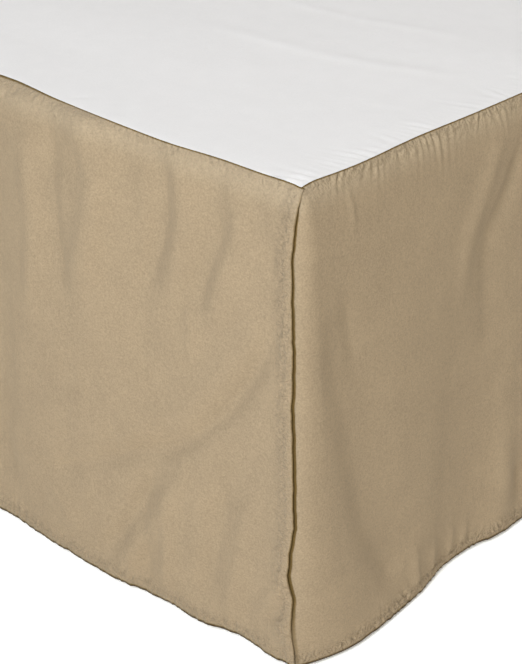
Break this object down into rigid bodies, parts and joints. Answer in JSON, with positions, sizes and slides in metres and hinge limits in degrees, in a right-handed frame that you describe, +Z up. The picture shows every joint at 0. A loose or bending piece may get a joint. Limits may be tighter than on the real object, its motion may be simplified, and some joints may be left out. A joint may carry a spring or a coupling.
{
  "type": "bed skirt on box spring and bed frame",
  "caption": "Split-corner bed skirt: a flat white deck with drop panels of brushed khaki cloth, lying on a box spring and hiding its steel frame.",
  "frame": {"origin": "on the floor under the middle of the skirt", "axes": "+Z up, +Y from the foot to the open head end, +X to the right seen from the foot"},
  "size_m": [1.5634, 2.0483, 0.385],
  "materials": {
    "skirt_fabric": "brushed, soft matt",
    "deck_fabric": "plain woven, matt",
    "ticking": "plain woven, matt",
    "steel": "satin black paint",
    "glide": "matt"
  },
  "bodies": {
    "root": {"deck": "deck_fabric", "panel_foot": "skirt_fabric", "panel_right": "skirt_fabric", "panel_left": "skirt_fabric", "box_spring": "ticking", "rail_left": "steel", "rail_right": "steel", "cross_foot": "steel", "cross_middle": "steel", "cross_head": "steel", "leg_foot_left": "steel", "leg_foot_right": "steel", "leg_side_left": "steel", "leg_middle": "steel", "leg_side_right": "steel", "leg_head_left": "steel", "leg_head_right": "steel", "glide_foot_left": "glide", "glide_foot_right": "glide", "glide_side_left": "glide", "glide_middle": "glide", "glide_side_right": "glide", "glide_head_left": "glide", "glide_head_right": "glide"}
  },
  "joints": []
}
